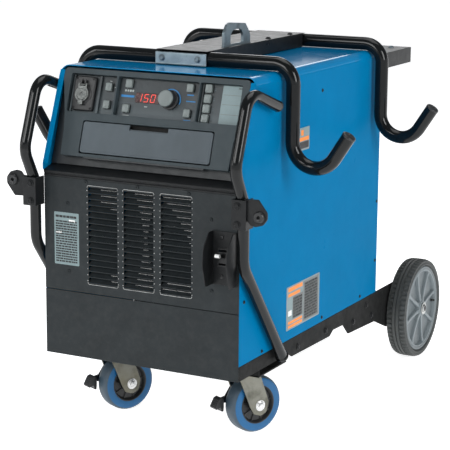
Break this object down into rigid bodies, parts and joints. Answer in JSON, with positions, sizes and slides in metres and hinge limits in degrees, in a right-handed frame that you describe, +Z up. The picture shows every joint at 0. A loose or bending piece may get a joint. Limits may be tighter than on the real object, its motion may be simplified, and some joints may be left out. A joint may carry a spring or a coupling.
{
  "type": "MIG welding power source on a cart",
  "caption": "Welding power source in a blue sheet-metal cabinet on swivel casters and large rear wheels, with push handles, cable hooks, lifting eye and gas bottle tray.",
  "frame": {"origin": "on the floor, under the middle of the machine's bounding box", "axes": "+Z up, -Y towards the front control panel, +X to the operator's right when facing the front panel"},
  "size_m": [0.8362, 1.1417, 0.9184],
  "materials": {
    "blue_paint": "gloss powder coat",
    "charcoal_paint": "fine texture powder coat",
    "black_paint": "gloss black powder coat",
    "zinc_steel": "zinc plated",
    "grey_plastic": "moulded, fine texture",
    "door_plastic": "moulded, satin",
    "overlay": "printed membrane",
    "display": "red filter",
    "light_plastic": "satin",
    "black_plastic": "satin",
    "cap_metal": "nickel plated",
    "tyre_rubber": "matt rubber",
    "wheel_plastic": "moulded",
    "caster_rubber": "blue rubber on a dark core",
    "core_steel": "laminated core with varnished coils",
    "aluminium": "extruded",
    "circuit_board": "solder mask",
    "terminal_brass": "turned"
  },
  "bodies": {
    "cabinet": {"base_frame": "black_paint", "bottle_tray": "black_paint", "bottle_bracket": "black_paint", "rear_axle": "zinc_steel", "wrapper": "blue_paint", "base_pan": "zinc_steel", "centre_shelf": "zinc_steel", "louvre_panel": "charcoal_paint", "lower_front_plate": "charcoal_paint", "rear_panel": "black_paint", "control_bezel": "grey_plastic", "remote_panel": "overlay", "display_panel": "overlay", "keypad_panel": "overlay", "display_window": "display", "remote_receptacle": "black_plastic", "switch_guard": "black_paint", "main_transformer": "core_steel", "heatsink": "aluminium", "fan_motor": "zinc_steel", "control_board": "circuit_board", "positive_terminal": "terminal_brass", "negative_terminal": "terminal_brass", "cable_gland": "black_plastic", "push_handle_left": "black_paint", "push_handle_right": "black_paint", "handle_clamp_left": "black_paint", "handle_clamp_right": "black_paint", "front_cable_hanger": "black_paint", "rear_cable_hanger": "black_paint", "hanger_clamp": "zinc_steel", "top_channel": "black_paint", "lifting_eye": "zinc_steel", "caster_plate_left": "zinc_steel", "caster_plate_right": "zinc_steel"},
    "setup_door": {"setup_door": "door_plastic"},
    "encoder_knob": {"encoder_knob": "light_plastic"},
    "receptacle_cap": {"receptacle_cap": "cap_metal"},
    "power_switch": {"power_switch": "black_plastic"},
    "fan": {"fan_rotor": "black_plastic"},
    "remote_button_upper": {"remote_button_upper": "light_plastic"},
    "remote_button_lower": {"remote_button_lower": "light_plastic"},
    "display_button_left_upper": {"display_button_left_upper": "light_plastic"},
    "display_button_left_lower": {"display_button_left_lower": "light_plastic"},
    "display_button_right_upper": {"display_button_right_upper": "light_plastic"},
    "display_button_right_lower": {"display_button_right_lower": "light_plastic"},
    "process_button_1": {"process_button_1": "light_plastic"},
    "process_button_2": {"process_button_2": "light_plastic"},
    "process_button_3": {"process_button_3": "light_plastic"},
    "process_button_4": {"process_button_4": "light_plastic"},
    "caster_fork_left": {"caster_fork_left": "zinc_steel"},
    "caster_wheel_left": {"caster_wheel_left": "caster_rubber"},
    "brake_pedal_left": {"brake_pedal_left": "black_plastic"},
    "rear_wheel_left": {"rear_tyre_left": "tyre_rubber", "rear_hub_left": "wheel_plastic"},
    "caster_fork_right": {"caster_fork_right": "zinc_steel"},
    "caster_wheel_right": {"caster_wheel_right": "caster_rubber"},
    "brake_pedal_right": {"brake_pedal_right": "black_plastic"},
    "rear_wheel_right": {"rear_tyre_right": "tyre_rubber", "rear_hub_right": "wheel_plastic"}
  },
  "joints": [
    {"name": "setup_door_hinge", "type": "hinge", "parent": "cabinet", "child": "setup_door", "pos_m": [0, -0.49233, 0.64502], "axis": [1, 0, 0], "range_deg": [0, 100]},
    {"name": "encoder_turn", "type": "hinge", "parent": "cabinet", "child": "encoder_knob", "pos_m": [0.039, -0.45266, 0.77198], "axis": [0, -0.9511, 0.309], "continuous": true},
    {"name": "receptacle_cap_hinge", "type": "hinge", "parent": "cabinet", "child": "receptacle_cap", "pos_m": [-0.18, -0.44915, 0.78924], "axis": [1, 0, 0], "range_deg": [-110, 0]},
    {"name": "power_switch_rock", "type": "hinge", "parent": "cabinet", "child": "power_switch", "pos_m": [0.211, -0.5086, 0.4505], "axis": [1, 0, 0], "range_deg": [-20, 0]},
    {"name": "fan_spin", "type": "hinge", "parent": "cabinet", "child": "fan", "pos_m": [0, 0.2094, 0.6415], "axis": [0, 1, 0], "continuous": true},
    {"name": "remote_button_upper_press", "type": "slide", "parent": "cabinet", "child": "remote_button_upper", "axis": [0, 0.9511, -0.309], "range_m": [0, 0.0018], "stiffness_N_per_m": 250, "springref_m": -0.002},
    {"name": "remote_button_lower_press", "type": "slide", "parent": "cabinet", "child": "remote_button_lower", "axis": [0, 0.9511, -0.309], "range_m": [0, 0.0018], "stiffness_N_per_m": 250, "springref_m": -0.002},
    {"name": "display_button_left_upper_press", "type": "slide", "parent": "cabinet", "child": "display_button_left_upper", "axis": [0, 0.9511, -0.309], "range_m": [0, 0.0018], "stiffness_N_per_m": 250, "springref_m": -0.002},
    {"name": "display_button_left_lower_press", "type": "slide", "parent": "cabinet", "child": "display_button_left_lower", "axis": [0, 0.9511, -0.309], "range_m": [0, 0.0018], "stiffness_N_per_m": 250, "springref_m": -0.002},
    {"name": "display_button_right_upper_press", "type": "slide", "parent": "cabinet", "child": "display_button_right_upper", "axis": [0, 0.9511, -0.309], "range_m": [0, 0.0018], "stiffness_N_per_m": 250, "springref_m": -0.002},
    {"name": "display_button_right_lower_press", "type": "slide", "parent": "cabinet", "child": "display_button_right_lower", "axis": [0, 0.9511, -0.309], "range_m": [0, 0.0018], "stiffness_N_per_m": 250, "springref_m": -0.002},
    {"name": "process_button_1_press", "type": "slide", "parent": "cabinet", "child": "process_button_1", "axis": [0, 0.9511, -0.309], "range_m": [0, 0.0018], "stiffness_N_per_m": 250, "springref_m": -0.002},
    {"name": "process_button_2_press", "type": "slide", "parent": "cabinet", "child": "process_button_2", "axis": [0, 0.9511, -0.309], "range_m": [0, 0.0018], "stiffness_N_per_m": 250, "springref_m": -0.002},
    {"name": "process_button_3_press", "type": "slide", "parent": "cabinet", "child": "process_button_3", "axis": [0, 0.9511, -0.309], "range_m": [0, 0.0018], "stiffness_N_per_m": 250, "springref_m": -0.002},
    {"name": "process_button_4_press", "type": "slide", "parent": "cabinet", "child": "process_button_4", "axis": [0, 0.9511, -0.309], "range_m": [0, 0.0018], "stiffness_N_per_m": 250, "springref_m": -0.002},
    {"name": "caster_swivel_left", "type": "hinge", "parent": "cabinet", "child": "caster_fork_left", "pos_m": [-0.17, -0.3436, 0.1465], "axis": [0, 0, 1], "continuous": true},
    {"name": "caster_roll_left", "type": "hinge", "parent": "caster_fork_left", "child": "caster_wheel_left", "pos_m": [-0.15547, -0.31509, 0.067], "axis": [0.891, -0.454, 0], "continuous": true},
    {"name": "brake_press_left", "type": "hinge", "parent": "caster_fork_left", "child": "brake_pedal_left", "pos_m": [-0.16546, -0.33469, 0.112], "axis": [0.891, -0.454, 0], "range_deg": [0, 5]},
    {"name": "rear_wheel_roll_left", "type": "hinge", "parent": "cabinet", "child": "rear_wheel_left", "pos_m": [-0.277, 0.4414, 0.1295], "axis": [1, 0, 0], "continuous": true},
    {"name": "caster_swivel_right", "type": "hinge", "parent": "cabinet", "child": "caster_fork_right", "pos_m": [0.17, -0.3436, 0.1465], "axis": [0, 0, 1], "continuous": true},
    {"name": "caster_roll_right", "type": "hinge", "parent": "caster_fork_right", "child": "caster_wheel_right", "pos_m": [0.18453, -0.31509, 0.067], "axis": [0.891, -0.454, 0], "continuous": true},
    {"name": "brake_press_right", "type": "hinge", "parent": "caster_fork_right", "child": "brake_pedal_right", "pos_m": [0.17454, -0.33469, 0.112], "axis": [0.891, -0.454, 0], "range_deg": [0, 5]},
    {"name": "rear_wheel_roll_right", "type": "hinge", "parent": "cabinet", "child": "rear_wheel_right", "pos_m": [0.277, 0.4414, 0.1295], "axis": [1, 0, 0], "continuous": true}
  ]
}
